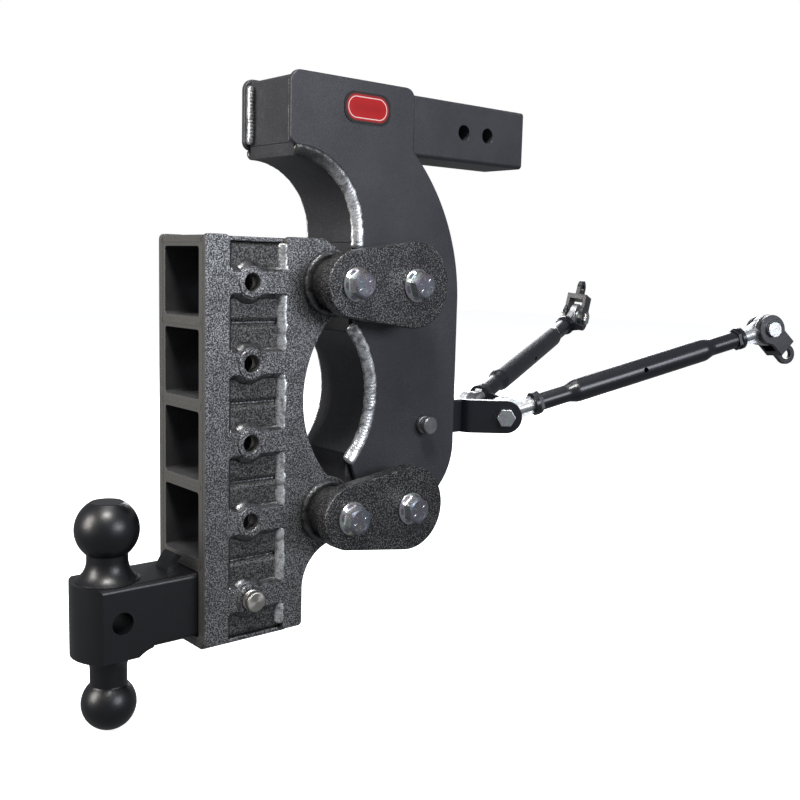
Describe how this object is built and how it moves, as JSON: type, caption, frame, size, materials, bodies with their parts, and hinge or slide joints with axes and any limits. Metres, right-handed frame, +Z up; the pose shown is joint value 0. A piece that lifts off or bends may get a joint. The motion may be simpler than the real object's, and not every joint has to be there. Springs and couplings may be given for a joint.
{
  "type": "weight distribution hitch",
  "caption": "Torsion drop hitch: a square shank on a curved frame, parallel links on rubber axles, a receiver stack with a double ball mount, and a two-arm stabilizer.",
  "frame": {"origin": "centre of the outer pin hole in the shank", "axes": "+X along the shank towards the vehicle, +Z up, +Y to the left of the vehicle's travel"},
  "size_m": [0.9079, 0.3672, 0.617],
  "materials": {
    "stack_paint": "hammered powder coat with bright flecks",
    "frame_paint": "satin powder coat",
    "zinc": "zinc plated",
    "black_paint": "satin black",
    "forged_black": "satin black over forging",
    "stainless": "turned",
    "weld": "painted weld bead",
    "rubber": "matt",
    "bushing": "nylon",
    "bar_steel": "oiled steel",
    "badge": "plain label"
  },
  "bodies": {
    "shank_frame": {"shank_plate_near": "frame_paint", "shank_plate_far": "frame_paint", "shank_bar": "frame_paint", "shank_spacer_bars": "frame_paint", "front_cover_plate": "frame_paint", "top_cover_plate": "frame_paint", "upper_curve_plate": "frame_paint", "lower_curve_plate": "frame_paint", "back_curve_plate": "frame_paint", "stabilizer_socket": "frame_paint", "axle_closing_plates": "frame_paint", "badge": "badge", "frame_torsion_tubes": "stack_paint", "frame_bushings": "bushing", "frame_rubber_cords": "rubber", "frame_weld_beads": "weld", "stabilizer_tube": "black_paint", "stabilizer_fork": "black_paint", "fork_bolts": "zinc", "fork_spacers": "zinc", "fork_nuts": "zinc"},
    "upper_links": {"upper_link_near": "stack_paint", "upper_link_far": "stack_paint", "upper_torsion_bars": "bar_steel", "upper_link_bolts": "zinc"},
    "lower_links": {"lower_link_near": "stack_paint", "lower_link_far": "stack_paint", "lower_torsion_bars": "bar_steel", "lower_link_bolts": "zinc"},
    "receiver_stack": {"stack_plate_near": "stack_paint", "stack_plate_far": "stack_paint", "receiver_tubes": "stack_paint", "stack_cap_plates": "stack_paint", "stack_back_plate": "stack_paint", "stack_torsion_tubes": "stack_paint", "stack_bushings": "bushing", "stack_rubber_cords": "rubber", "pin_hole_rings": "stack_paint", "stack_weld_beads": "weld", "ball_mount_block": "forged_black", "tow_ball_large": "forged_black", "tow_ball_small": "forged_black"},
    "hitch_pin": {"hitch_pin": "stainless"},
    "pin_lock": {"pin_lock": "stainless"},
    "stabilizer_pin": {"stabilizer_pin": "stainless"},
    "pin_clip": {"pin_clip": "stainless"},
    "swivel_near": {"arm_ball_near": "zinc"},
    "arm_near": {"inner_rod_end_near": "zinc"},
    "turnbuckle_near": {"arm_tube_near": "black_paint", "arm_jam_nuts_near": "zinc"},
    "outer_end_near": {"outer_rod_end_near": "zinc"},
    "clamp_near": {"clamp_near": "black_paint", "clamp_pin_near": "zinc"},
    "swivel_far": {"arm_ball_far": "zinc"},
    "arm_far": {"inner_rod_end_far": "zinc"},
    "turnbuckle_far": {"arm_tube_far": "black_paint", "arm_jam_nuts_far": "zinc"},
    "outer_end_far": {"outer_rod_end_far": "zinc"},
    "clamp_far": {"clamp_far": "black_paint", "clamp_pin_far": "zinc"}
  },
  "joints": [
    {"name": "upper_link_swing", "type": "hinge", "parent": "shank_frame", "child": "upper_links", "pos_m": [-0.1488, 0, -0.1652], "axis": [0, 1, 0], "range_deg": [-10, 10], "stiffness_Nm_per_rad": 4000},
    {"name": "stack_level", "type": "hinge", "parent": "upper_links", "child": "receiver_stack", "pos_m": [-0.225, 0, -0.1652], "axis": [0, 1, 0], "range_deg": [-10, 10]},
    {"name": "lower_link_swing", "type": "hinge", "parent": "shank_frame", "child": "lower_links", "pos_m": [-0.1488, 0, -0.3938], "axis": [0, 1, 0], "range_deg": [-10, 10]},
    {"name": "hitch_pin_slide", "type": "slide", "parent": "receiver_stack", "child": "hitch_pin", "axis": [0, -1, 0], "range_m": [0, 0.115]},
    {"name": "pin_lock_slide", "type": "slide", "parent": "receiver_stack", "child": "pin_lock", "axis": [0, 1, 0], "range_m": [0, 0.035]},
    {"name": "stabilizer_pin_turn", "type": "hinge", "parent": "shank_frame", "child": "stabilizer_pin", "pos_m": [-0.0965, 0, -0.316], "axis": [0, 1, 0], "range_deg": [-90, 90]},
    {"name": "pin_clip_pull", "type": "slide", "parent": "stabilizer_pin", "child": "pin_clip", "axis": [0, 0, 1], "range_m": [0, 0.045]},
    {"name": "arm_swing_near", "type": "hinge", "parent": "shank_frame", "child": "swivel_near", "pos_m": [0.04238, -0.0314, -0.316], "axis": [0.6428, 0.766, 0], "range_deg": [-25, 25]},
    {"name": "arm_tilt_near", "type": "hinge", "parent": "swivel_near", "child": "arm_near", "pos_m": [0.04238, -0.0314, -0.316], "axis": [-0.2101, 0.1763, 0.9617], "range_deg": [-5, 5]},
    {"name": "turnbuckle_turn_near", "type": "hinge", "parent": "arm_near", "child": "turnbuckle_near", "pos_m": [0.04238, -0.0314, -0.316], "axis": [0.9077, -0.3304, 0.2588], "range_deg": [0, 2160]},
    {"name": "arm_extend_near", "type": "slide", "parent": "arm_near", "child": "outer_end_near", "axis": [0.9077, -0.3304, 0.2588], "range_m": [0, 0.01524]},
    {"name": "clamp_swing_near", "type": "hinge", "parent": "outer_end_near", "child": "clamp_near", "pos_m": [0.39274, -0.15892, -0.2161], "axis": [0.3633, 0.9272, -0.0906], "range_deg": [-40, 40]},
    {"name": "arm_swing_far", "type": "hinge", "parent": "shank_frame", "child": "swivel_far", "pos_m": [0.04238, 0.0314, -0.316], "axis": [0.6428, -0.766, 0], "range_deg": [-25, 25]},
    {"name": "arm_tilt_far", "type": "hinge", "parent": "swivel_far", "child": "arm_far", "pos_m": [0.04238, 0.0314, -0.316], "axis": [0.2101, 0.1763, -0.9617], "range_deg": [-5, 5]},
    {"name": "turnbuckle_turn_far", "type": "hinge", "parent": "arm_far", "child": "turnbuckle_far", "pos_m": [0.04238, 0.0314, -0.316], "axis": [0.9077, 0.3304, 0.2588], "range_deg": [0, 2160]},
    {"name": "arm_extend_far", "type": "slide", "parent": "arm_far", "child": "outer_end_far", "axis": [0.9077, 0.3304, 0.2588], "range_m": [0, 0.01524]},
    {"name": "clamp_swing_far", "type": "hinge", "parent": "outer_end_far", "child": "clamp_far", "pos_m": [0.39274, 0.15892, -0.2161], "axis": [0.3633, -0.9272, -0.0906], "range_deg": [-40, 40]}
  ],
  "couplings": [
    {"joint": "stack_level", "follows": "upper_link_swing", "ratio": -1},
    {"joint": "lower_link_swing", "follows": "upper_link_swing", "ratio": 1},
    {"joint": "turnbuckle_turn_near", "follows": "arm_extend_near", "rad_per_m": 2473.7},
    {"joint": "turnbuckle_turn_far", "follows": "arm_extend_far", "rad_per_m": 2473.7}
  ]
}
